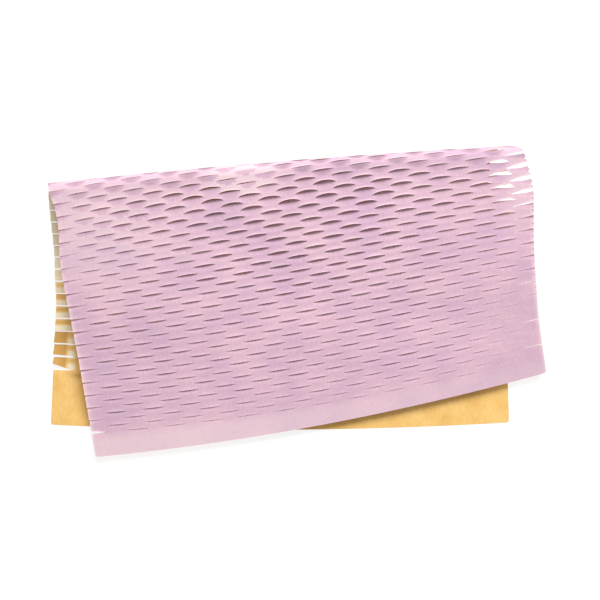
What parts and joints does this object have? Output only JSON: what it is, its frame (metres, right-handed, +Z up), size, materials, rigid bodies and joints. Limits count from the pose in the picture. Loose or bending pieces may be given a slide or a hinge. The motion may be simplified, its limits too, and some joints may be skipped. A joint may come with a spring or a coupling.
{
  "type": "honeycomb wrapping paper",
  "caption": "Slit honeycomb wrapping paper, lilac outside and kraft inside, folded over once with a soft roll; it unfolds flat and stretches as its slits open.",
  "frame": {"origin": "on the table, under the middle of the folded sheet's box", "axes": "+X along the slits of the lower half, +Y from the free edges towards the fold, +Z up"},
  "size_m": [0.3268, 0.2006, 0.0333],
  "materials": {
    "lilac_paper": "matte",
    "kraft_paper": "matte"
  },
  "bodies": {
    "lower_half": {"lower_slit_field": "kraft_paper"},
    "lower_end": {"lower_end_band": "kraft_paper"},
    "lift_bend": {"lift_bend": "kraft_paper"},
    "lift_panel": {"lift_panel": "kraft_paper"},
    "roll_1": {"roll_strip_1": "lilac_paper"},
    "roll_2": {"roll_strip_2": "lilac_paper"},
    "roll_3": {"roll_strip_3": "lilac_paper"},
    "roll_4": {"roll_strip_4": "lilac_paper"},
    "upper_half": {"upper_slit_field": "lilac_paper"},
    "upper_end": {"upper_end_band": "lilac_paper"}
  },
  "joints": [
    {"name": "table_bend", "type": "hinge", "parent": "lower_half", "child": "lift_bend", "pos_m": [-0.0134, 0.03877, 0.00007], "axis": [-0.9963, -0.0854, 0], "range_deg": [0, 10.21]},
    {"name": "lift_crease", "type": "hinge", "parent": "lift_bend", "child": "lift_panel", "pos_m": [-0.01415, 0.04752, 0.00202], "axis": [-0.9963, -0.0854, 0], "range_deg": [0, 12.5]},
    {"name": "roll_bend_1", "type": "hinge", "parent": "lift_panel", "child": "roll_1", "pos_m": [-0.01733, 0.08455, 0.01935], "axis": [-0.9963, -0.0854, 0], "range_deg": [0, 32.72]},
    {"name": "roll_bend_2", "type": "hinge", "parent": "roll_1", "child": "roll_2", "pos_m": [-0.01753, 0.08694, 0.02315], "axis": [-0.9963, -0.0854, 0], "range_deg": [0, 32.72]},
    {"name": "roll_bend_3", "type": "hinge", "parent": "roll_2", "child": "roll_3", "pos_m": [-0.01753, 0.08691, 0.02765], "axis": [-0.9963, -0.0854, 0], "range_deg": [0, 32.72]},
    {"name": "roll_bend_4", "type": "hinge", "parent": "roll_3", "child": "roll_4", "pos_m": [-0.01732, 0.08446, 0.03142], "axis": [-0.9963, -0.0854, 0], "range_deg": [0, 32.72]},
    {"name": "unfold", "type": "hinge", "parent": "roll_4", "child": "upper_half", "pos_m": [-0.01697, 0.08036, 0.03326], "axis": [-0.9963, -0.0854, 0], "range_deg": [0, 35.01]},
    {"name": "lower_stretch", "type": "slide", "parent": "lower_half", "child": "lower_end", "axis": [0, -1, 0], "range_m": [0, 0.025], "stiffness_N_per_m": 60, "deforming": ["lower_slit_field"]},
    {"name": "upper_stretch", "type": "slide", "parent": "upper_half", "child": "upper_end", "axis": [0.1693, -0.9742, -0.149], "range_m": [0, 0.025], "stiffness_N_per_m": 60, "deforming": ["upper_slit_field"]}
  ],
  "couplings": [
    {"joint": "table_bend", "follows": "unfold", "ratio": 0.29161},
    {"joint": "lift_crease", "follows": "unfold", "ratio": 0.35703},
    {"joint": "roll_bend_1", "follows": "unfold", "ratio": 0.93457},
    {"joint": "roll_bend_2", "follows": "unfold", "ratio": 0.93457},
    {"joint": "roll_bend_3", "follows": "unfold", "ratio": 0.93457},
    {"joint": "roll_bend_4", "follows": "unfold", "ratio": 0.93457}
  ]
}
